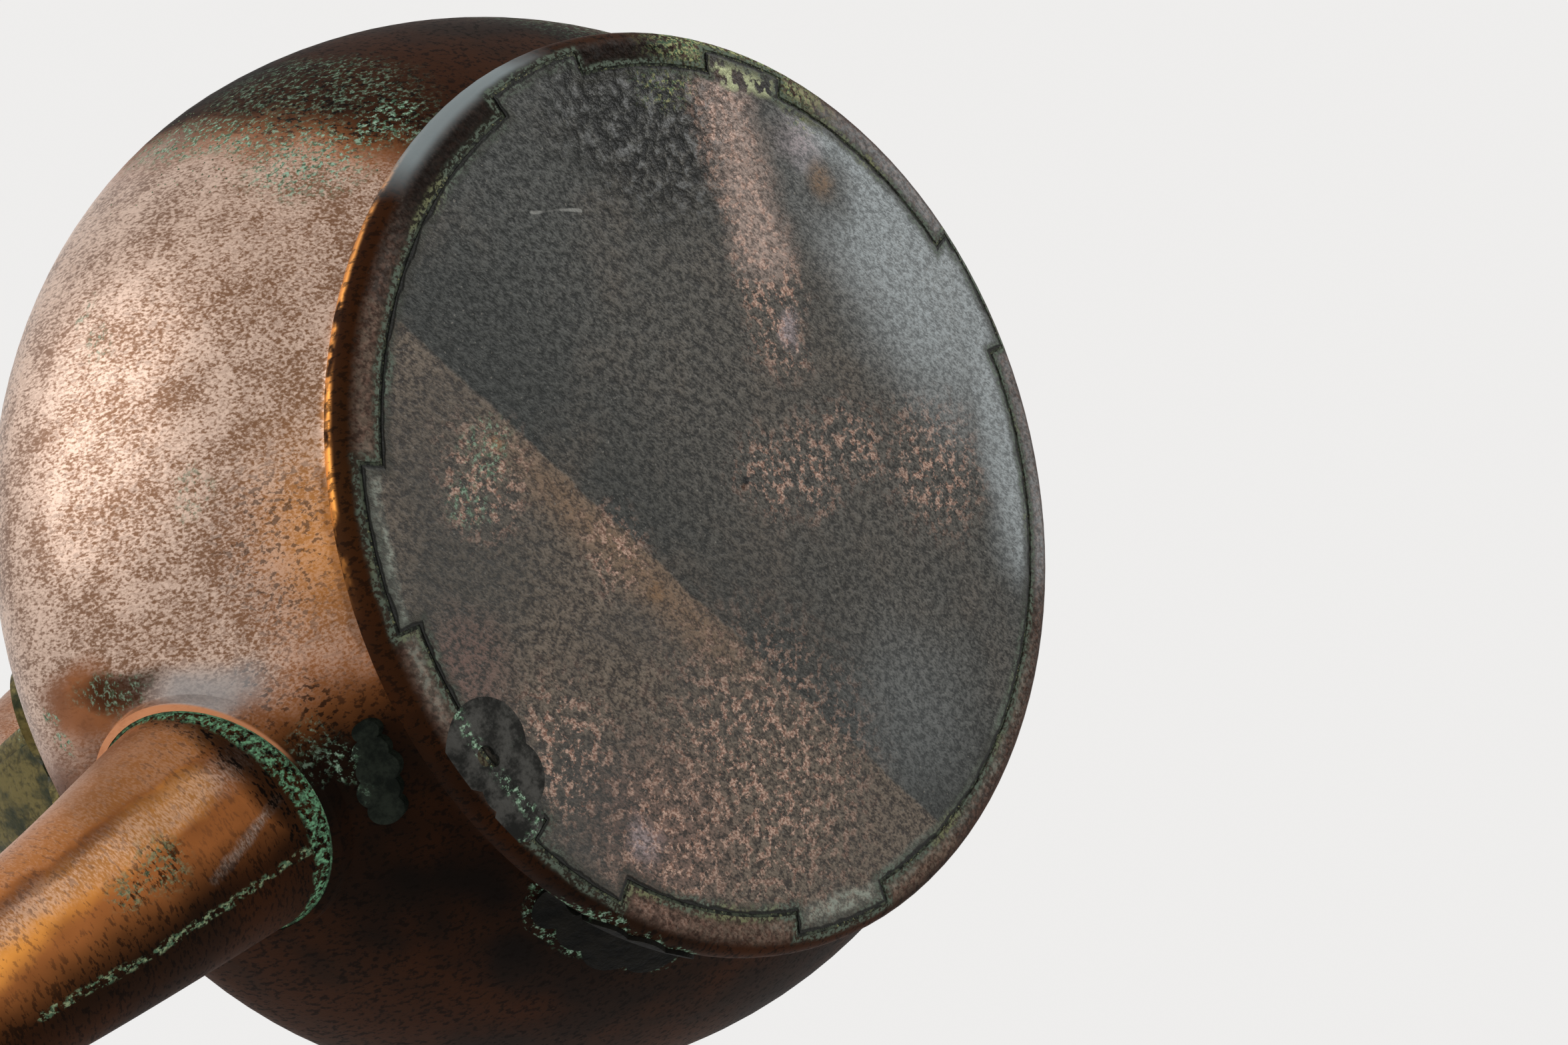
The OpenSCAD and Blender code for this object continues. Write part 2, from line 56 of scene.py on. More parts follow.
# %% [markdown]
# ## The camera
# The picture is taken from low down on the spout's side, looking up at the underside of the kettle. The three
# directions below are the camera's own right, up and back, found from the round base and the widest circle of the
# body, which show as two ellipses. A lens of 52 mm on a 36 mm sensor gives the same widening towards the near side.

# %% Set up the camera
CAMERA_PLACE = (0.3012, 0.0971, -0.3294)
CAMERA_RIGHT = Vector((-0.5671, -0.4659, -0.6792))
CAMERA_UP = Vector((-0.4927, 0.8527, -0.1735))
CAMERA_BACK = Vector((0.6600, 0.2363, -0.7132))

lens = bpy.data.cameras.new("camera")
lens.lens = 52.0
lens.sensor_width = 36.0
lens.clip_start = 0.01
camera = stand("camera", lens)
turn = Matrix((CAMERA_RIGHT, CAMERA_UP, CAMERA_BACK)).transposed().to_4x4()
camera.matrix_world = Matrix.Translation(CAMERA_PLACE) @ turn
scene.camera = camera
scene.view_settings.view_transform = "Standard"
print("camera looks along", [round(-v, 3) for v in CAMERA_BACK])

# %% [markdown]
# ## Writing node trees as sums
# A finish is a tree of nodes, and most of it is arithmetic on masks: where is it worn, where is it green. One small
# class wraps what comes out of a node, so that such sums can be written as plain Python, and one method adds any
# other node. The world, the finishes and the Geometry Nodes are all written with these two.

# %% Sums on sockets
class Value:
    """What comes out of a node. A sum on it adds the node that works the sum out"""

    def __init__(self, tree, socket):
        self.tree = tree
        self.socket = socket

    def other(self, name):
        """Another output of the same node"""
        return Value(self.tree, self.socket.node.outputs[name])

    def __add__(self, more):
        return self.tree.calc("ADD", self, more)

    def __sub__(self, less):
        return self.tree.calc("SUBTRACT", self, less)

    def __rsub__(self, start):
        return self.tree.calc("SUBTRACT", start, self)

    def __mul__(self, times):
        return self.tree.calc("MULTIPLY", self, times)

    def __truediv__(self, share):
        return self.tree.calc("DIVIDE", self, share)

    def __or__(self, rival):
        return self.tree.calc("MAXIMUM", self, rival)

    def __and__(self, rival):
        return self.tree.calc("MINIMUM", self, rival)

    def __abs__(self):
        return self.tree.calc("ABSOLUTE", self)

    __radd__ = __add__
    __rmul__ = __mul__

    def above(self, low, high):
        """0 under low, 1 over high, and a soft step between them"""
        return self.tree.node("ShaderNodeMapRange", {"interpolation_type": "SMOOTHSTEP"},
                              {"Value": self, "From Min": low, "From Max": high})

    def below(self, low, high):
        """1 under low, 0 over high, and a soft step between them"""
        return 1 - self.above(low, high)

    def between(self, low, high, soft):
        """1 from low to high, and softly down to 0 outside them"""
        middle = (low + high) / 2
        half = (high - low) / 2
        return abs(self - middle).below(half - soft / 2, half + soft / 2)

    def within(self, size, soft):
        """1 near nothing, 0 from this size on. Soft is the share of the size in which it goes down"""
        return self.below(size * (1 - soft), size)


def strongest(masks):
    """The largest of several masks at each place"""
    most, *others = masks
    for mask in others:
        most = most | mask
    return most


# %% Trees of nodes
class Tree:
    """A node tree for a material, a world or a shape"""

    def __init__(self, group):
        self.group = group
        self.group.nodes.clear()

    def put(self, socket, value):
        if isinstance(value, Value):
            self.group.links.new(value.socket, socket)
        elif socket.type == "RGBA":
            socket.default_value = (*value[:3], 1)
        else:
            socket.default_value = value

    def node(self, kind, settings=None, values=None, output=0):
        """Adds any node, and returns one of its outputs, unless it has none"""
        made = self.group.nodes.new(kind)
        for key, value in (settings or {}).items():
            setattr(made, key, value)
        for key, value in (values or {}).items():
            self.put(made.inputs[key], value)
        return Value(self, made.outputs[output]) if made.outputs else None

    def calc(self, operation, *values, clamp=False):
        return self.node("ShaderNodeMath", {"operation": operation, "use_clamp": clamp}, dict(enumerate(values)))


# %% Finishes
class Finish(Tree):
    """A material with one shader, and the masks and colours that feed it"""

    def __init__(self, name):
        self.material = bpy.data.materials.new(name)
        self.material.use_nodes = True
        super().__init__(self.material.node_tree)
        self.place = self.node("ShaderNodeTexCoord", output="Object")

    def vector(self, operation, *values, output=0):
        return self.node("ShaderNodeVectorMath", {"operation": operation}, dict(enumerate(values)), output)

    def grain(self, scale, detail=3.0, rough=0.55, stretch=None, place=None):
        """Noise whose lumps are about 1 / scale metres across"""
        where = place or self.place
        if stretch:
            where = self.vector("MULTIPLY", where, stretch)
        return self.node("ShaderNodeTexNoise", values={"Vector": where, "Scale": scale, "Detail": detail,
                                                       "Roughness": rough})

    def wander(self, amount, scale, detail=3.0):
        """The place on the surface, pushed about by noise, so that spots get ragged edges"""
        push = self.node("ShaderNodeTexNoise", values={"Vector": self.place, "Scale": scale, "Detail": detail},
                         output=1)
        push = self.vector("SUBTRACT", push, (0.5, 0.5, 0.5))
        return self.vector("ADD", self.place, self.vector("MULTIPLY", push, (amount, amount, amount)))

    def parts(self, place):
        """The three coordinates of a place, one by one"""
        x = self.node("ShaderNodeSeparateXYZ", values={0: place})
        return x, x.other("Y"), x.other("Z")

    def polar(self, place):
        """How far a place is from the upright axis, and its angle round it in radians"""
        x, y = self.parts(place)[:2]
        return self.length(x, y), self.calc("ARCTAN2", y, x)

    def far(self, arrow):
        """How long an arrow is"""
        return self.vector("LENGTH", arrow, output="Value")

    def length(self, *values):
        """How long the arrow with these coordinates is"""
        return self.far(self.node("ShaderNodeCombineXYZ", values=dict(enumerate(values))))

    def spot(self, centre, size, soft=0.5, place=None, stretch=None):
        """1 near the centre, 0 farther away than size"""
        gap = self.vector("SUBTRACT", place or self.place, centre)
        if stretch:
            gap = self.vector("MULTIPLY", gap, stretch)
        return self.far(gap).within(size, soft)

    def line(self, start, end, wide, soft=0.5, place=None):
        """1 near a straight line between two points, 0 farther away than wide"""
        run = Vector(end) - Vector(start)
        gap = self.vector("SUBTRACT", place or self.place, start)
        share = self.vector("DOT_PRODUCT", gap, run / run.length_squared, output="Value")
        share = self.calc("MULTIPLY", share, 1.0, clamp=True)
        nearest = self.node("ShaderNodeVectorMath", {"operation": "SCALE"}, {0: run, "Scale": share})
        return self.far(self.vector("SUBTRACT", gap, nearest)).within(wide, soft)

    def mix(self, low, high, mask):
        """A colour that goes from low to high as the mask goes from 0 to 1"""
        return self.node("ShaderNodeMix", {"data_type": "RGBA"}, {0: mask, 6: low, 7: high}, output=2)

    def finish(self, colour, roughness, metallic, height=None, depth=0.0, gloss=0.3):
        """Feeds the shader. Depth is how deep the relief is where the height is 1"""
        feeds = {"Base Color": colour, "Roughness": roughness, "Metallic": metallic, "Specular IOR Level": gloss}
        if height is not None:
            feeds["Normal"] = self.node("ShaderNodeBump", values={
                "Height": height, "Distance": depth, "Strength": 1.0})
        shader = self.node("ShaderNodeBsdfPrincipled", values=feeds)
        self.node("ShaderNodeOutputMaterial", values={"Surface": shader})
        return self.material


# %% [markdown]
# ## Light, floor and background
# A big soft lamp stands where the broad highlight on the copper asks for it, and weaker ones fill in from the other
# sides and from below. Metal shows what stands round it, so the pale background is seen by reflected rays too. The
# kettle stands on a pale floor. The camera is lower than that floor, so the floor shows only from above, and lets
# light through, or nothing of the underside could be seen.

# %% Lamps
MIDDLE = Vector((0.03, 0.0, 0.08))


def soft_lamp(name, direction, distance, size, power):
    """A square lamp that shines at the middle of the kettle from one direction"""
    towards = Vector(direction).normalized()
    data = bpy.data.lights.new(name, "AREA")
    data.shape = "SQUARE"
    data.size = size
    data.energy = power
    lamp = stand(name, data)
    lamp.location = MIDDLE + towards * distance
    lamp.rotation_euler = towards.to_track_quat("Z", "Y").to_euler()


soft_lamp("key_lamp", (0.46, 0.74, 0.49), distance=1.2, size=0.8, power=3.2)
soft_lamp("back_lamp", (-0.7, -0.1, 0.7), distance=1.3, size=0.9, power=2.0)
soft_lamp("side_lamp", (0.4, -0.85, 0.35), distance=1.3, size=0.9, power=1.2)
soft_lamp("low_lamp", (-0.80, 0.35, -0.38), distance=1.2, size=0.4, power=4.4)

# %% World
PALE_SKY = (1.0, 0.99, 0.98)
SKY_LIGHT = 0.55
SKY_SEEN = 0.86

world = bpy.data.worlds.new("studio")
scene.world = world
world.use_nodes = True
sky = Tree(world.node_tree)
seen = strongest(sky.node("ShaderNodeLightPath", output="Is " + kind + " Ray")
                 for kind in ("Camera", "Glossy", "Transmission"))
lighting, shown = (sky.node("ShaderNodeBackground", values={"Color": PALE_SKY, "Strength": strength})
                   for strength in (SKY_LIGHT, SKY_SEEN))
mixed = sky.node("ShaderNodeMixShader", values={0: seen, 1: lighting, 2: shown})
sky.node("ShaderNodeOutputWorld", values={"Surface": mixed})
print("world:", len(sky.group.nodes), "nodes")

# %% Pale floor
FLOOR_REACH = 9.0
FLOOR_Z = -0.0005
FLOOR_COLOUR = (0.80, 0.80, 0.79)

floor_mesh = bpy.data.meshes.new("floor")
corners = [(FLOOR_REACH * x, FLOOR_REACH * y, FLOOR_Z) for x, y in ((-1, -1), (1, -1), (1, 1), (-1, 1))]
floor_mesh.from_pydata(corners, [], [(0, 1, 2, 3)])
floor = stand("floor", floor_mesh)
floor_look = bpy.data.materials.new("pale_floor")
floor_look.use_nodes = True
tree = Tree(floor_look.node_tree)
camera_ray = tree.node("ShaderNodeLightPath", output="Is Camera Ray")
from_below = tree.node("ShaderNodeNewGeometry", output="Backfacing")
from_above = tree.calc("SUBTRACT", camera_ray, from_below, clamp=True)
clear = tree.node("ShaderNodeBsdfTransparent")
matt = tree.node("ShaderNodeBsdfDiffuse", values={"Color": FLOOR_COLOUR})
mixed = tree.node("ShaderNodeMixShader", values={0: from_above, 1: clear, 2: matt})
tree.node("ShaderNodeOutputMaterial", values={"Surface": mixed})
floor_mesh.materials.append(floor_look)
print("floor reaches", FLOOR_REACH, "m each way")

# %% [markdown]
# ## Smooth copies of the solids
# The solids come in as loose triangles. A copy whose doubled points are merged can be shaded smoothly, with creases
# only where two faces meet at a real angle.

# %% Dress a solid
SAME_POINT = 2e-6
NO_LENGTH = 1e-7


def dress(name, piece_name, material, crease=32.0):
    """Stands a smoothly shaded copy in for a solid and gives it its finish. Crease is in degrees"""
    mesh = solids[name].data.copy()
    mesh.name = piece_name
    shape = bmesh.new()
    shape.from_mesh(mesh)
    bmesh.ops.remove_doubles(shape, verts=shape.verts, dist=SAME_POINT)
    bmesh.ops.dissolve_degenerate(shape, edges=shape.edges, dist=NO_LENGTH)
    limit = math.radians(crease)
    for face in shape.faces:
        face.smooth = True
    for edge in shape.edges:
        edge.smooth = len(edge.link_faces) == 2 and edge.calc_face_angle(0.0) < limit
    shape.to_mesh(mesh)
    shape.free()
    mesh.materials.clear()
    mesh.materials.append(material)
    piece = stand(piece_name, mesh)
    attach(piece, "root")
    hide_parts(name)
    print(piece_name, len(mesh.polygons), "faces")


# %% [markdown]
# ## Green corrosion
# Copper that stays damp turns to green crumbs: pale on top, dark where they are thin. The crumbs are matt and not
# metallic, so the same mask that lays on the colour also takes the shine away.

# %% Verdigris
def verdigris(f, colour, rough, metal, mask, pale=(0.40, 0.58, 0.42), thick=0.0):
    """Lays green corrosion over a colour. It covers more of the surface where it is thick"""
    crumbs = f.grain(820.0, 4.0, 0.68).above(0.50 - thick, 0.60 - thick)
    green = f.mix((0.09, 0.17, 0.10), pale, f.grain(1500.0, 2.0).above(0.42, 0.60))
    cover = mask * crumbs
    return f.mix(colour, green, cover), rough + cover * 0.3, metal * (1 - cover * 0.9)


# %% [markdown]
# ## Where the seam runs
# The base plate is a disc with six tabs, its cramps, let into notches in the body's edge. Both pieces get a crack
# and crumbs along that line, so the finish has to know how far a point is from it: the nearest of the round edge
# between the tabs and the tabs' own sides. The joint of the spout is found in the same way, by how far a point
# stands off the wall.

# %% Distances from the seam and from the wall
SEAM_R = 0.0862
CRAMP_DEPTH = 0.0044
CRAMPS = [(12, 31), (-31, -17), (-76, -60), (171, 189), (122, 135), (84, 99)]  # from and to, in degrees
BELLY_R, BELLY_Z = 118.0, 80.0  # millimetres
BELLY_CURVE = 270.0  # below the belly the wall draws in by the square of the height over this, in millimetres
ROOT_Z = 0.0505


def off_the_wall(f, place):
    """Millimetres that a place near the spout's root stands off the wall of the body"""
    x, y, z = f.parts(place)
    lower = BELLY_Z - z * 1000.0
    return f.length(x, y) * 1000.0 - BELLY_R + lower * lower / BELLY_CURVE


def seam_distance(f, place):
    """Metres outside the edge of the base plate, or less than 0 on it"""
    r, angle = f.polar(place)
    tab_end = r - (SEAM_R + CRAMP_DEPTH)
    nearest = r - SEAM_R
    for start, stop in CRAMPS:
        middle = math.radians((start + stop) / 2)
        half = math.radians((stop - start) / 2)
        turned = f.calc("WRAP", angle - middle, math.pi, -math.pi)
        nearest = nearest & ((abs(turned) - half) * r | tab_end)
    return nearest


# %% Marks along the seam
SEAM_DIRT = (0.030, 0.030, 0.022)
SEAM_GREEN = (0.15, 0.19, 0.145)
SEAM_YELLOW = (0.23, 0.24, 0.13)
CRACK = (0.008, 0.008, 0.006)


def seam_marks(f, colour, rough, metal):
    """A dark ragged crack along the seam, with green and yellow crumbs beside it"""
    outward = seam_distance(f, f.wander(0.0018, 240.0))
    gap = abs(outward)
    patchy = f.grain(55.0, 3.0).above(0.40, 0.60)
    crust = abs(outward - 0.0008).below(0.0006, 0.0013)
    beside = gap.below(0.0006, 0.0026) * patchy | crust * 0.85
    crumbs = f.grain(1100.0, 3.0, 0.65)
    colour = f.mix(colour, SEAM_DIRT, gap.below(0.0008, 0.0030) * 0.75)
    pale = f.mix(SEAM_GREEN, SEAM_YELLOW, f.grain(38.0, 2.0).above(0.56, 0.64))
    colour = f.mix(colour, pale, beside * crumbs.above(0.44, 0.56))
    crack = gap.below(0.0002, 0.0007)
    colour = f.mix(colour, CRACK, crack)
    return colour, rough + beside * 0.2, metal * (1 - beside), crack


# %% [markdown]
# ## The heat-greyed underside
# Years over a flame turned the base grey and pitted it all over. A straight edge parts the grey from a brown side,
# which is a painted reflection, and the grey just before that edge is darkened as painted shade. Rosy copper shows
# where scale flaked off, and paler films lie on the far side; the palest, cool-grey one is a painted sheen. In one
# hammered place the dents get painted shade in their hollows and painted highlights on their tops. The same look
# runs across the seam on to the body's edge, so it is one function that both pieces use. Spots and streaks on the
# underside are given in millimetres.

# %% Colours of the underside
BLACK = (0.005, 0.003, 0.002)
SLATE_LOW, SLATE = (0.013, 0.015, 0.013), (0.105, 0.109, 0.100)
SLATE_SHADOW = (0.018, 0.021, 0.019)
BROWN_LOW, BROWN = (0.040, 0.031, 0.025), (0.225, 0.176, 0.130)
DULL_BROWN = (0.060, 0.056, 0.050)
GREY_BROWN = (0.050, 0.053, 0.049)
PINK_BROWN = (0.230, 0.120, 0.098)
OCHRE = (0.310, 0.175, 0.090)
DENT_SHADE, DENT_HIGHLIGHT = (0.010, 0.011, 0.010), (0.230, 0.235, 0.230)
ROSY_LOW, ROSY = (0.25, 0.135, 0.095), (0.58, 0.40, 0.31)
PINK_FILM = (0.54, 0.40, 0.335)
PALE_SHEEN = (0.43, 0.475, 0.485)
LILAC = (0.45, 0.37, 0.38)
RUST = (0.26, 0.14, 0.06)
SCRATCH = (0.36, 0.36, 0.33)
PUNCHED = (0.004, 0.004, 0.004)
SPECK = (0.30, 0.28, 0.24)
GREY_CRUST = (0.33, 0.37, 0.31)
YELLOW_CRUST = (0.46, 0.49, 0.28)


# %% Spots and streaks of the underside
def spots(f, soft, place, *table):
    """Round marks. The table gives x, y and size of each"""
    return strongest(f.spot((x / 1000, y / 1000, 0.0), size / 1000, soft, place) for x, y, size in table)


def streak(f, start, end, wide, soft, place):
    return f.line((start[0] / 1000, start[1] / 1000, 0.0), (end[0] / 1000, end[1] / 1000, 0.0), wide / 1000, soft,
                  place)


def reflected_brown(f, tone, across, loose):
    """The colour of the painted brown reflection past the straight edge, with greyer and pinker places and an ochre
    edge
    """
    brown = f.mix(BROWN_LOW, BROWN, tone)
    brown = f.mix(brown, DULL_BROWN, f.grain(17.0, 3.0).above(0.48, 0.60) * 0.35)
    brown = f.mix(brown, GREY_BROWN, spots(f, 0.8, loose, (68, 22, 28), (74, -30, 20)) * 0.6)
    pinkish = spots(f, 0.8, loose, (81, 6, 15)) | spots(f, 0.9, loose, (62, -44, 26))
    brown = f.mix(brown, PINK_BROWN, pinkish * tone * 0.6)
    ochre = across.between(0.0290, 0.0370, 0.010) * spots(f, 0.7, loose, (40, 2, 46))
    return f.mix(brown, OCHRE, ochre * (0.15 + tone * 0.5))


def films(f, colour, tone, reflected_side, loose):
    """Lays the pink and lilac films and a painted pale sheen over a colour. Also says where the sheen is"""
    pink = streak(f, (-48, 70), (-36, 38), 13, 0.9, loose)
    colour = f.mix(colour, PINK_FILM, pink * (0.25 + tone * 0.6))
    # A painted sheen of pale cool-grey light on the far side of the base
    sheen = f.spot((-0.076, 0.016, 0.0), 0.044, 0.8, loose, (1.25, 0.72, 0.0))
    sheen = sheen | streak(f, (-68, 48), (-86, 0), 17, 0.8, loose) | streak(f, (-86, -4), (-68, -56), 16, 0.9, loose)
    sheen = sheen * (1 - spots(f, 0.7, loose, (-62, 40, 12)) * 0.75)
    sheen = sheen | spots(f, 0.9, loose, (-10, -62, 30)) * (1 - reflected_side) * 0.2
    colour = f.mix(colour, PALE_SHEEN, sheen * (0.40 + tone * 0.55))
    lilac = spots(f, 0.9, loose, (-60, 52, 9), (66, -40, 6)) | spots(f, 0.7, loose, (-31, 18, 5))
    return f.mix(colour, LILAC, lilac * (0.2 + tone * 0.6)), sheen


def small_marks(f, colour, tone):
    """Rust, a scratch, the punch mark in the middle and pale specks"""
    rust = spots(f, 0.8, f.wander(0.003, 300.0), (34.5, -5.9, 3), (50, 36, 2.6), (-61, 41, 6))
    colour = f.mix(colour, RUST, rust * (0.2 + tone * 0.5))
    colour = f.mix(colour, SCRATCH, streak(f, (15, 68), (4, 63), 0.5, 0.6, f.wander(0.002, 90.0)) * 0.7)
    colour = f.mix(colour, PUNCHED, spots(f, 0.5, f.place, (0, 0, 1.2)))
    return f.mix(colour, SPECK, f.grain(1300.0, 2.0).above(0.66, 0.72) * 0.5)


def edge_crusts(f, colour, pits, dents):
    """Grey-green and yellow crusts along parts of the seam, by radius and by angle in radians"""
    r, angle = f.polar(f.wander(0.005, 110.0))
    grey = r.between(0.0850, 0.0895, 0.0020) * angle.between(-2.15, -1.00, 0.30)
    grey = grey | r.between(0.0875, 0.0910, 0.0015) * angle.between(0.02, 0.55, 0.15)
    colour = f.mix(colour, GREY_CRUST, grey * (0.2 + pits.above(0.45, 0.60) * 0.6))
    yellow = r.between(0.0845, 0.0930, 0.0020) * angle.between(2.05, 2.50, 0.15)
    colour = f.mix(colour, BLACK, yellow * 0.8)
    return f.mix(colour, YELLOW_CRUST, yellow * dents.above(0.46, 0.54))


# %% Burnt underside
ROLLED = 0.53  # angle at which the sheet was rolled, in radians
REFLECTION_EDGE_ACROSS = (0.935, -0.354, 0.0)
ROSY_SPOTS = ((-28, 18, 12), (-51, -25, 22), (-33, -9, 14), (-18, -6, 15), (-6, -2, 13),
              (34, -48, 42), (56, 32, 16), (38, 6, 12), (72, -18, 20), (60, -45, 26))


def burnt(f):
    """Colour, roughness, metal share and height of the underside"""
    loose = f.wander(0.012, 70.0)
    along = f.node("ShaderNodeVectorRotate", {"rotation_type": "Z_AXIS"}, {"Vector": f.place, "Angle": ROLLED})
    pits = f.grain(640.0, 4.0, 0.68, (1.0, 0.75, 1.0), along)
    fine = f.grain(2000.0, 2.0, 0.6, (1.0, 0.6, 1.0), along)
    blotch = f.grain(30.0, 4.0, 0.6)
    dents = f.grain(330.0, 3.0, 0.6)
    tone = (pits * 0.6 + fine * 0.4).above(0.41, 0.60)
    across = f.vector("DOT_PRODUCT", f.wander(0.0022, 120.0), REFLECTION_EDGE_ACROSS, output="Value")
    # Past this straight edge lies a painted brown reflection; the grey just before the edge gets painted shade
    reflected_side = across.above(0.0283, 0.0294)
    shadow = across.above(-0.010, 0.0290) * (1 - reflected_side)
    warm = f.spot((-0.030, 0.000, 0.0), 0.080, 0.8, loose, (1.0, 0.8, 0.0)) * 0.30
    hammered = f.spot((-0.028, 0.076, 0.0), 0.034, 0.6, loose)
    flakes = f.grain(400.0, 4.0, 0.74).above(0.50, 0.58)
    rosy = (streak(f, (-47, 74), (-31, 26), 12.5, 0.7, loose) | spots(f, 0.8, loose, *ROSY_SPOTS)) * flakes

    colour = f.mix(f.mix(SLATE_LOW, SLATE, tone), SLATE_SHADOW, shadow * 0.45)
    # Brown from the painted reflection on one side, and from brown blotches anywhere
    reflection_and_blotches = (reflected_side * 0.9) | (warm + blotch.above(0.45, 0.70) * 0.35)
    colour = f.mix(colour, reflected_brown(f, tone, across, loose), reflection_and_blotches)
    # In the hammered place, painted shade in the dents' hollows and painted highlights on their tops
    colour = f.mix(colour, DENT_SHADE, hammered * dents.below(0.44, 0.54) * 0.9)
    colour = f.mix(colour, DENT_HIGHLIGHT, hammered * dents.above(0.54, 0.62) * 0.6)
    colour = f.mix(colour, f.mix(ROSY_LOW, ROSY, fine.above(0.4, 0.6)), rosy * 0.9)
    colour, sheen = films(f, colour, tone, reflected_side, loose)
    colour = edge_crusts(f, small_marks(f, colour, tone), pits, dents)
    height = pits * 1.3 + fine * 0.5 + blotch * 3.5 + dents * (0.8 + hammered * 9.0)
    return colour, 0.50 - sheen * 0.10 + pits * 0.12, 0.12 + rosy * 0.4, height


def burnt_base():
    f = Finish("burnt_base")
    colour, rough, metal, height = burnt(f)
    loose = f.wander(0.008, 110.0)
    wet = spots(f, 0.6, loose, (52, 36, 8), (62, 30, 6))
    colour, rough, metal = verdigris(f, colour, rough, metal, wet * 0.7)
    crust = spots(f, 0.7, loose, (-34, 80, 12), (-68, 56, 8))
    colour, rough, metal = verdigris(f, colour, rough, metal, crust, pale=(0.50, 0.50, 0.22))
    colour, rough, metal, crack = seam_marks(f, colour, rough, metal)
    return f.finish(colour, rough, metal, height - crack * 2.0, depth=0.00050)


dress("base_plate", "base_disc", burnt_base(), crease=20.0)

# %% [markdown]
# ## Worn copper
# Old copper is never one colour. Rubbing leaves bright peach flecks that run up and down the wall, between brown
# hollows, and where the key lamp's highlight falls the peach is a painted highlight too. Away from that it darkens
# from orange to nearly black, first in flecks and then all over; on the body and the spout that dark is soot and
# tarnish with painted shade in it. Bright orange marks painted glints and some orange copper. Green corrosion starts
# in specks. A patina function says where each of these is found on one piece.

# %% Copper
OLD_ORANGE, ORANGE = (0.20, 0.068, 0.021), (0.36, 0.125, 0.036)
GLINT_ORANGE = (0.88, 0.36, 0.07)
HOLLOW, PEACH = (0.20, 0.108, 0.064), (0.68, 0.51, 0.41)
TARNISH = (0.14, 0.060, 0.030)
SOOT_SHADE_BROWN = (0.032, 0.010, 0.003)
GREY_FILM = (0.33, 0.32, 0.315)
BARE = (0.62, 0.27, 0.13)
EVEN = (1.0, 1.0, 1.0)


def worn_copper(name, patina, stretch=(1.0, 1.0, 0.4)):
    """Copper sheet. Patina is a function that says where this piece is worn and painted with highlight, darkened with
    soot and painted shade, painted with glints, flecked, filmed, bare or green
    """
    f = Finish(name)
    cloud = f.grain(22.0, 3.0)
    fine = f.grain(2100.0, 2.0, 0.6, stretch)
    middle = f.grain(1000.0, 3.0, 0.65, stretch)
    tarnish = middle.above(0.54, 0.62)
    places = patina(f)
    smoked = places["smoked"]
    colour = f.mix(OLD_ORANGE, ORANGE, cloud.above(0.35, 0.62))
    # Bright orange: painted glints and highlight streaks, and orange copper near the groove
    colour = f.mix(colour, GLINT_ORANGE, places.get("glowing", 0.0))
    peach = f.mix(HOLLOW, PEACH, (fine * 0.45 + middle * 0.3 + f.grain(90.0, 3.0) * 0.25).above(0.42, 0.57))
    # Peach where worn; on the body and the spout this is also a painted highlight
    colour = f.mix(colour, peach, places["rubbed"])
    colour = f.mix(colour, TARNISH, tarnish * (0.15 + cloud.above(0.45, 0.65) * 0.4))
    # Soot, tarnish and painted shade, where the patina places them
    colour = f.mix(colour, f.mix(SOOT_SHADE_BROWN, BLACK, cloud.above(0.40, 0.60)), smoked)
    colour = f.mix(colour, BLACK, middle.above(0.52, 0.59) * places["flecked"])
    colour = f.mix(colour, GREY_FILM, places.get("filmed", 0.0))
    colour = f.mix(colour, BARE, places.get("bared", 0.0))
    rough = 0.33 + fine * 0.08 + tarnish * 0.10 + smoked * 0.25
    metal = (1 - tarnish * 0.2) * (1 - smoked)
    height = fine * 0.6 + middle * 0.5 + f.grain(70.0, 2.0) * 4.0
    for pale, mask, thick in places["green"]:
        colour, rough, metal = verdigris(f, colour, rough, metal, mask, pale, thick)
    if "last" in places:
        colour, rough, metal, height = places["last"](colour, rough, metal, height)
    return f.finish(colour, rough, metal, height, depth=0.00005, gloss=0.03)


# %% [markdown]
# ## The body's own marks
# On the body the marks are placed by the angle round the kettle, in degrees from the spout, and the height in
# millimetres, as if the wall were unrolled. The side towards the hand is worn to peach, and there the peach flecks
# are also a painted highlight. The wall beyond it and all of the wall under the spout are darkened nearly black,
# partly soot and tarnish and partly painted shade, and verdigris runs up where the two meet. The groove at the base
# is painted dark as shade, with a painted orange glint and a painted cool-grey reflection on its rounded edge.

# %% Patina of the body
GREEN_PATCHES = (
    # angle, height, half width in degrees, half height, softness, strength
    (73, 55, 4.6, 34, 0.6, 1.0), (70, 26, 7.5, 15, 0.6, 1.0), (78, 18, 7, 8, 0.6, 1.0), (82, 40, 9, 34, 0.6, 0.45),
    (13.8, 78, 1.1, 5, 0.6, 1.0), (11.2, 78, 1.0, 5, 0.6, 1.0), (14.8, 58, 2.2, 15, 0.6, 0.6),
    (48.5, 55, 3, 4, 0.6, 0.45), (31, 32, 3, 5, 0.6, 0.45), (51.5, 62, 2.5, 3, 0.6, 0.45),
    (-35.5, 10.5, 13.6, 9.4, 0.1, 0.8), (0.5, 20.5, 3, 3, 0.5, 0.7), (4, 23, 4, 5, 0.6, 0.35),
    (118, 40, 14, 34, 1.0, 0.5), (-130, 70, 16, 28, 1.0, 0.5))
RIM_ROSY_LOW, RIM_ROSY = (0.085, 0.042, 0.030), (0.27, 0.150, 0.110)
RIM_REFLECTION_GREY = (0.31, 0.36, 0.37)


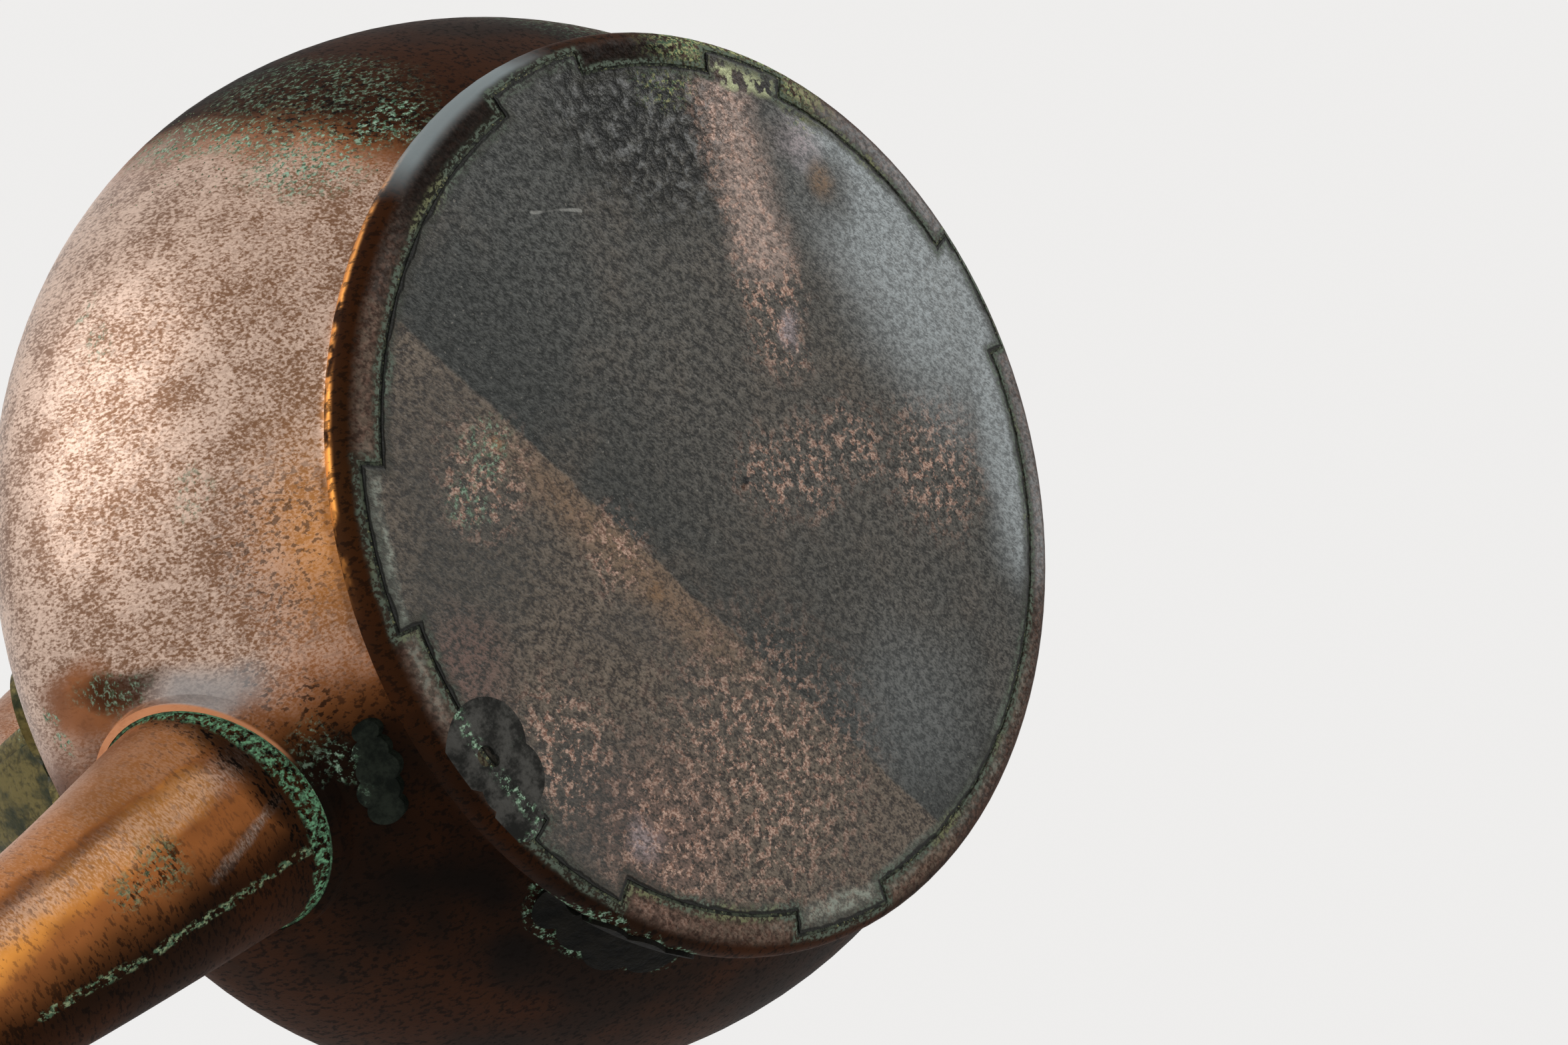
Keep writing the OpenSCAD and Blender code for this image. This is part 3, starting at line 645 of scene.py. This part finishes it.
def body_patina(f):
    x, y, z = f.parts(f.wander(0.010, 75.0))
    azimuth = f.calc("ARCTAN2", y, x) * (180 / math.pi)
    height = z * 1000.0

    def patch(at, up_wall, wide, tall, soft=0.6, strength=1.0):
        far = f.length((azimuth - at) / wide, (height - up_wall) / tall)
        return far.within(1.0, soft) * strength

    cloud = f.grain(14.0, 3.0)
    far_side = (1 - azimuth.between(-130, 145, 70)) * (0.25 + cloud.above(0.40, 0.62) * 0.5)
    # Where the key lamp's highlight lies the peach is a painted highlight over wear; the far side is wear alone
    highlit_and_handled = azimuth.between(10, 71, 9) * height.above(7, 12) | far_side * height.above(20, 60)
    highlit_and_handled = highlit_and_handled * (1 - patch(14, 66, 5.5, 17)) * (1 - patch(21, 10, 20, 22, 0.9, 0.7))
    # The top and the low side are painted nearly black: soot and tarnish, with painted shade where the light falls
    # away
    shaded_tarnished_top = azimuth.above(71, 79) * azimuth.below(112, 172) * (1 - height.above(95, 150) * 0.5)
    shaded_low_soot = azimuth.above(-158, -96) * azimuth.below(2, 12) * (1 - height.above(100, 160) * 0.5)
    near_black = shaded_tarnished_top | shaded_low_soot

    # The rounded edge at the base keeps its exact place, so its marks don't wander
    exact_x, exact_y, exact_z = f.parts(f.place)
    level = exact_z * 1000.0
    # The groove and bead at the base are darkened as painted shade, except along the painted glint
    bead = level.below(7.8, 9.6)
    # A painted orange highlight glint along the rounded edge at the base
    glint = level.between(3.6, 7.4, 1.4) * azimuth.between(20, 72, 14) * f.grain(180.0, 3.0).above(0.36, 0.56)
    # A painted cool-grey reflection on the rounded edge near the top
    grey_reflection = level.between(0.4, 6.6, 2.0) * azimuth.between(66, 92, 9) * 0.85
    under = level.below(0.4, 2.2) * f.length(exact_x, exact_y).below(0.0905, 0.0930)
    lip = f.length(exact_y, exact_z - ROOT_Z).below(0.0252, 0.0258) * azimuth.between(4, 40, 3)

    def last(colour, rough, metal, relief):
        """Runs the burnt look of the base on to the rounded edge, with a painted cool-grey reflection and crusts on
        it
        """
        base_colour, _, _, base_relief = burnt(f)
        rosy = f.mix(RIM_ROSY_LOW, RIM_ROSY, f.grain(900.0, 3.0).above(0.45, 0.62))
        colour = f.mix(colour, f.mix(base_colour, rosy, 0.4), under)
        colour = f.mix(colour, BLACK, under * azimuth.between(60, 118, 12) * 0.85)
        colour = f.mix(colour, RIM_REFLECTION_GREY, grey_reflection * (1 - under))
        crust = spots(f, 0.6, f.wander(0.01, 90.0), (-55, 73, 30)) * level.below(6, 14)
        colour, rough, metal = verdigris(f, colour, rough, metal * (1 - under * 0.7), crust, (0.48, 0.50, 0.24), 0.05)
        marked, rough, metal, crack = seam_marks(f, colour, rough, metal)
        return f.mix(colour, marked, level.below(0.6, 1.4)), rough, metal, relief + base_relief * under * 3.0

    return {
        "rubbed": highlit_and_handled * 0.92,
        "smoked": near_black * (0.86 + cloud * 0.2) | bead * (1 - glint) * 0.94 | patch(14.8, 56, 2.4, 18, 0.7, 0.8),
        "flecked": strongest((near_black * 0.75, bead * 0.6, f.grain(24.0, 2.0).above(0.60, 0.70) * 0.6,
                              patch(24, 18, 13, 14, 0.6, 0.55), patch(6, 20, 6, 6, 0.6, 0.7), patch(80, 30, 10, 32))),
        "filmed": patch(12.0, 38, 4.2, 17, 0.8, 0.8),
        "bared": lip,
        "glowing": glint | patch(30, 12, 22, 16, 0.8, 0.6),
        "green": [((0.40, 0.60, 0.44), strongest(patch(*row) for row in GREEN_PATCHES), 0.0)],
        "last": last}


dress("body", "body_shell", worn_copper("body_copper", body_patina))

# %% [markdown]
# ## The spout's own marks
# The spout is rolled from sheet, so a soldered seam runs along its underside and has gone green. The side towards
# the hand is pink with rubbing. Below it lies a band with file strokes that carries a painted highlight, and below
# that a painted orange highlight streak. The side away from it is dark with soot and painted shade, darkest low at
# the root. The strokes of the file that cleaned it run round the tube.

# %% Patina of the spout
SPOUT_SEAM = ((0.162, -0.0050, 0.0390), (0.1540, -0.0056, 0.0360), (0.1447, -0.0070, 0.0339),
              (0.1348, -0.0075, 0.0319), (0.1209, -0.0087, 0.0301), (0.1091, -0.0093, 0.0286))
SEAM_MINT = (0.34, 0.42, 0.24)
JOINT_GREEN = (0.22, 0.50, 0.28)


def spout_patina(f):
    x, y, z = f.parts(f.wander(0.005, 110.0))
    pink = y.above(0.0145, 0.0165)
    # A band of file strokes that carries a painted highlight
    stroked_highlight = y.between(0.0085, 0.0135, 0.004)
    ridge = y.between(0.0125, 0.0150, 0.0015)
    # The underside and the low root against the wall are painted nearly black: soot with painted shade
    near_black = y.below(-0.007, 0.0055)
    root = x.below(0.1115, 0.117) * z.below(0.046, 0.058)
    # A painted orange highlight streak below that band
    highlight_streak = f.line((0.168, 0.0062, 0.0430), (0.121, 0.0118, 0.0320), 0.0060, 0.8, f.wander(0.003, 200.0))
    scratched = f.line((0.128, -0.003, 0.030), (0.111, 0.002, 0.0265), 0.0016, 0.8, f.wander(0.002, 300.0))
    loose = f.wander(0.0022, 300.0)
    seam = strongest(f.line(start, end, 0.0013, 0.6, loose) for start, end in zip(SPOUT_SEAM, SPOUT_SEAM[1:]))
    crumbs = f.spot((0.134, 0.005, 0.031), 0.007, 0.7, loose) | f.spot((0.141, 0.0045, 0.032), 0.005, 0.7, loose)
    joint = off_the_wall(f, f.wander(0.0015, 260.0)).below(0.9, 2.0)
    cloud = f.grain(40.0, 3.0).above(0.42, 0.62)
    return {
        "rubbed": pink * 0.22 | stroked_highlight * 0.55 | scratched * 0.7,
        "smoked": near_black * 0.96 | root * 0.9 | cloud * 0.2 | ridge * 0.35,
        "flecked": near_black * 0.7 | root | crumbs * 0.8,
        "glowing": highlight_streak | pink * 0.2,
        "green": [(SEAM_MINT, seam | crumbs * 0.6, 0.02), (JOINT_GREEN, joint, 0.05)]}


dress("spout", "spout_tube", worn_copper("spout_copper", spout_patina, stretch=(1.5, 0.5, 0.5)), crease=50.0)


# %% Copper pieces that the picture doesn't show
def plain_patina(f):
    """Dull, darker in clouds, with a few green specks"""
    cloud = f.grain(26.0, 3.0)
    specks = f.grain(60.0, 3.0).above(0.66, 0.76)
    return {
        "rubbed": cloud.above(0.36, 0.60) * 0.55,
        "smoked": cloud.below(0.34, 0.52) * 0.5,
        "flecked": cloud.above(0.55, 0.70) * 0.5,
        "green": [((0.36, 0.52, 0.38), specks, 0.0)]}


dress("lid", "domed_lid", worn_copper("lid_copper", plain_patina, stretch=EVEN))
dress("lid_bezel", "lid_ring", worn_copper("ring_copper", plain_patina))
rivet_copper = worn_copper("rivet_copper", plain_patina, stretch=EVEN)
for end in ("front", "rear"):
    dress(end + "_bracket_rivets", end + "_rivets", rivet_copper)

# %% [markdown]
# ## Solder and braze
# Old soft solder is dull grey lead, run on thick and never dressed. Low on the wall it is black with soot, and green
# and mint corrosion creeps out from under its edges. The braze round the base and the spout is mostly corrosion.

# %% Solder
def old_solder(name, dark, light, edge=None):
    """Lead, run on thick and tarnished. Edge is a function for the part that corroded"""
    f = Finish(name)
    lumps = f.grain(240.0, 4.0, 0.6)
    fine = f.grain(1400.0, 3.0, 0.6)
    colour = f.mix(dark, light, (lumps * 0.7 + fine * 0.3).above(0.40, 0.62))
    green = f.grain(80.0, 3.0).above(0.62, 0.72) * 0.4
    if edge:
        green = green | edge(f)
    colour, rough, metal = verdigris(f, colour, 0.55 + fine * 0.2, 0.08 - lumps * 0.05, green)
    return f.finish(colour, rough, metal, lumps * 2.0 + fine * 0.5, depth=0.0003, gloss=0.06)


def mint_end(f):
    return f.line((0.0975, -0.0105, 0.0215), (0.0985, 0.0050, 0.0180), 0.0012, 0.7, f.wander(0.003, 200.0))


def seam_side(f):
    return abs(seam_distance(f, f.wander(0.002, 200.0)) - 0.001).below(0.0005, 0.0020)


greenish = old_solder("grey_smear", (0.005, 0.007, 0.005), (0.020, 0.025, 0.018), mint_end)
near_black = old_solder("sooty_smear", (0.002, 0.002, 0.0015), (0.008, 0.007, 0.005))
grey = old_solder("base_solder_grey", (0.020, 0.020, 0.018), (0.085, 0.083, 0.075), seam_side)
dress("front_wall_solder", "front_wall_smear", greenish)
dress("side_wall_solder", "side_wall_smear", near_black)
dress("base_patch", "base_solder", grey)


# %% Corroded braze
def green_joint(name, dark, green, pale):
    f = Finish(name)
    lumps = f.grain(800.0, 4.0, 0.65)
    colour = f.mix(dark, green, lumps.above(0.44, 0.60))
    colour = f.mix(colour, pale, f.grain(1500.0, 2.0).above(0.60, 0.66) * f.grain(70.0, 2.0).above(0.42, 0.58))
    return f.finish(colour, 0.75 - lumps * 0.1, 0.1 * lumps, lumps, depth=0.0004)


seam_braze = green_joint("seam_braze", (0.012, 0.013, 0.010), (0.100, 0.120, 0.080), (0.33, 0.33, 0.16))
joint_braze = green_joint("spout_joint_green", (0.045, 0.085, 0.045), (0.17, 0.40, 0.21), (0.40, 0.55, 0.34))
dress("base_seam_braze", "seam_line", seam_braze)
dress("spout_solder", "spout_joint", joint_braze)

# %% [markdown]
# ## Cast brass
# The brackets were cast in sand and never polished, and have dulled to olive with green-black hollows. The pins, the
# knob and its washer were turned, so they are smoother and a little brighter.

# %% Brass
DARK_BRASS, BRASS = (0.060, 0.050, 0.019), (0.160, 0.128, 0.045)
BRASS_HOLLOW = (0.020, 0.028, 0.017)


def cast_brass(name, dull=1.0):
    """Tarnished brass, from 0 for bright to 1 for dull"""
    f = Finish(name)
    cloud = f.grain(50.0, 4.0)
    skin = f.grain(900.0, 3.0)
    light = tuple(shade * (1.9 - 0.9 * dull) for shade in BRASS)
    colour = f.mix(DARK_BRASS, light, (cloud * 0.5 + skin * 0.5).above(0.40, 0.58))
    colour = f.mix(colour, BRASS_HOLLOW, f.grain(110.0, 4.0).above(0.50, 0.66) * dull * 0.8)
    green = f.grain(70.0).above(0.62, 0.74) * dull * 0.8
    colour, rough, metal = verdigris(f, colour, 0.36 + cloud * 0.12, 0.9 - cloud * 0.1, green)
    return f.finish(colour, rough, metal, skin + cloud * 3.0, depth=0.00012)


bracket_brass = cast_brass("cast_brass")
for end in ("front", "rear"):
    dress(end + "_bracket", end + "_casting", bracket_brass, crease=40.0)
dress("handle_pins", "grip_pins", cast_brass("pin_brass", 0.5))
dress("lid_knob", "turned_knob", cast_brass("knob_brass", 0.3))
dress("knob_washer", "inner_washer", cast_brass("washer_brass", 0.7))

# %% [markdown]
# ## Shapes from rules
# What follows a rule or repeats is made with Geometry Nodes. A tree gets named inputs, ends by making its instances
# real and giving them their material, and is turned into a plain mesh, so that no modifier is left on the piece.

# %% Run a geometry tree
def geometry_tree(name, sizes):
    """A new tree with named inputs. Sizes gives each input's kind and value"""
    group = bpy.data.node_groups.new(name, "GeometryNodeTree")
    group.interface.new_socket("Geometry", in_out="INPUT", socket_type="NodeSocketGeometry")
    for size_name, (kind, value) in sizes.items():
        group.interface.new_socket(size_name, in_out="INPUT", socket_type="NodeSocket" + kind)
    group.interface.new_socket("Geometry", in_out="OUTPUT", socket_type="NodeSocketGeometry")
    tree = Tree(group)
    entry = tree.node("NodeGroupInput")
    return tree, {key: entry.other(key) for key in ("Geometry", *sizes)}


def end_tree(tree, shape, look):
    shape = tree.node("GeometryNodeRealizeInstances", values={"Geometry": shape})
    shape = tree.node("GeometryNodeSetMaterial", values={"Geometry": shape, "Material": look})
    tree.node("NodeGroupOutput", values={0: shape})
    print(tree.group.name, "tree:", len(tree.group.nodes), "nodes")


def grown_piece(name, mesh, tree, sizes, extra=None):
    """Runs a geometry tree on a mesh and keeps the result as a plain piece that rides on the kettle"""
    host = stand(name + "_host", mesh)
    grow = host.modifiers.new("grow", "NODES")
    grow.node_group = tree.group
    for item in tree.group.interface.items_tree:
        if item.in_out == "INPUT" and item.name in sizes:
            grow[item.identifier] = sizes[item.name][1]
    if extra:
        extra(host)
    graph = bpy.context.evaluated_depsgraph_get()
    result = bpy.data.meshes.new_from_object(host.evaluated_get(graph))
    result.name = name
    bpy.data.objects.remove(host)
    piece = stand(name, result)
    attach(piece, "root")
    print(name, len(result.polygons), "faces")
    return piece


# %% [markdown]
# ## The grip
# The grip is a copper tube, bent in a bow between the two brackets and drawn thinner at its ends. A Bezier curve
# gives the bow, the radius depends on the place along it, and a circle is swept along. Solidify then gives the open
# tube its wall.

# %% Sweep the grip
GRIP_WALL = 0.0014
GRIP_SIDES = 48
THICK_PART, THIN_PART = 0.14, 0.47  # shares of the length from the middle, where it starts and ends to thin

grip_copper = worn_copper("grip_copper", plain_patina, stretch=(0.5, 1.0, 1.0))
grip_sizes = {"Half span": ("Float", 0.088), "Foot height": ("Float", 0.202), "Pull in": ("Float", 0.0442),
              "Pull up": ("Float", 0.29187), "End radius": ("Float", 0.007), "Middle radius": ("Float", 0.011),
              "Rings": ("Int", 64), "Look": ("Material", grip_copper)}
tree, given = geometry_tree("bent_grip", grip_sizes)


def point(side, height):
    return tree.node("ShaderNodeCombineXYZ", values={0: side, 2: height})


bow = tree.node("GeometryNodeCurvePrimitiveBezierSegment", values={
    "Resolution": given["Rings"],
    "Start": point(given["Half span"] * -1.0, given["Foot height"]),
    "Start Handle": point(given["Pull in"] * -1.0, given["Pull up"]),
    "End Handle": point(given["Pull in"], given["Pull up"]),
    "End": point(given["Half span"], given["Foot height"])})
bow = tree.node("GeometryNodeResampleCurve", {"mode": "EVALUATED"}, {"Curve": bow})
from_middle = abs(tree.node("GeometryNodeInputIndex") / given["Rings"] - 0.5)
radius = tree.node("ShaderNodeMapRange", {"interpolation_type": "SMOOTHSTEP"}, {
    "Value": from_middle, "From Min": THICK_PART, "From Max": THIN_PART,
    "To Min": given["Middle radius"], "To Max": given["End radius"]})
ring = tree.node("GeometryNodeCurvePrimitiveCircle", values={"Resolution": GRIP_SIDES, "Radius": 1.0})
end_tree(tree, tree.node("GeometryNodeCurveToMesh", values={"Curve": bow, "Profile Curve": ring, "Scale": radius}),
         given["Look"])


def tube_wall(host):
    wall = host.modifiers.new("wall", "SOLIDIFY")
    wall.thickness = GRIP_WALL
    wall.offset = -1.0


grip = grown_piece("grip", bpy.data.meshes.new("grip_host"), tree, grip_sizes, tube_wall)
for face in grip.data.polygons:
    face.use_smooth = True
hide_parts("handle")

# %% [markdown]
# ## Crumbs of corrosion
# Corrosion stands proud in crumbs round the spout's joint, on the green band of the wall and in the seam of the
# base. Points are strewn over the faces of those places, closer together where a noise is high, and each gets a
# small lump of its own size and turn. The lumps are coarse, because there are hundreds of them.

# %% Strew crumbs
SMALLEST, LARGEST = (0.35, 0.35, 0.20), (1.0, 1.0, 0.55)  # shares of the crumb size

crumb_inputs = {"Per square metre": ("Float", 0), "Crumb size": ("Float", 0), "Seed": ("Int", 0),
                "Look": ("Material", 0)}
tree, given = geometry_tree("strewn_crumbs", crumb_inputs)
clusters = tree.node("ShaderNodeTexNoise", values={"Scale": 90.0, "Detail": 3.0})
crowd = tree.node("ShaderNodeMapRange", values={"Value": clusters, "From Min": 0.47, "From Max": 0.66})
points = tree.node("GeometryNodeDistributePointsOnFaces", {"distribute_method": "RANDOM"}, {
    "Mesh": given["Geometry"], "Density": crowd * given["Per square metre"], "Seed": given["Seed"]}, output="Points")
lump = tree.node("GeometryNodeMeshIcoSphere", values={"Radius": 0.5, "Subdivisions": 1})
spread = tree.node("FunctionNodeRandomValue", {"data_type": "FLOAT_VECTOR"}, {
    0: SMALLEST, 1: LARGEST, "Seed": given["Seed"]})
sized = tree.node("ShaderNodeVectorMath", {"operation": "SCALE"}, {0: spread, "Scale": given["Crumb size"]})
lumps = tree.node("GeometryNodeInstanceOnPoints", values={
    "Points": points, "Instance": lump, "Rotation": points.other("Rotation"), "Scale": sized})
end_tree(tree, lumps, given["Look"])


# %% Places that carry crumbs
def faces_of(name, wanted):
    """The faces of a solid that a rule picks, as a mesh of their own. The rule gets each middle in millimetres"""
    mesh = solids[name].data.copy()
    shape = bmesh.new()
    shape.from_mesh(mesh)
    spare = [face for face in shape.faces if not wanted(face.calc_center_median() * 1000, face.normal)]
    bmesh.ops.delete(shape, geom=spare, context="FACES")
    shape.to_mesh(mesh)
    shape.free()
    return mesh


def joint_ring(at, normal):
    return normal.x > 0.1 and math.hypot(at.y, at.z - ROOT_Z * 1000) > 21


def green_band(at, normal):
    around = math.degrees(math.atan2(at.y, at.x))
    return 64 < around < 80 and 10 < at.z < 76 and normal.dot(Vector((at.x, at.y, 0))) > 0


def seam_under(at, normal):
    return normal.z < -0.5


# %% The crumbs themselves
def crumb_look(name, dark, pale):
    f = Finish(name)
    lumps = f.grain(500.0)
    colour = f.mix(dark, pale, f.grain(900.0, 2.0).above(0.42, 0.58))
    return f.finish(colour, 0.85 - lumps * 0.1, 0.02 * lumps)


green_crumbs = crumb_look("green_crumbs", (0.07, 0.12, 0.06), (0.36, 0.42, 0.26))
grey_crumbs = crumb_look("seam_crumbs", (0.06, 0.065, 0.045), (0.28, 0.29, 0.17))
CRUMBS = (
    # piece, solid that carries it, which faces, number per square metre, size, seed, material
    ("joint_crumbs", "spout_solder", joint_ring, 2.5e5, 0.0007, 5, green_crumbs),
    ("wall_crumbs", "body", green_band, 2.5e5, 0.0006, 8, green_crumbs),
    ("seam_crumbs", "base_seam_braze", seam_under, 9e5, 0.0007, 3, grey_crumbs))
for name, carrier, wanted, number, size, seed, look in CRUMBS:
    values = {"Per square metre": ("Float", number), "Crumb size": ("Float", size), "Seed": ("Int", seed),
              "Look": ("Material", look)}
    grown_piece(name, faces_of(carrier, wanted), tree, values)
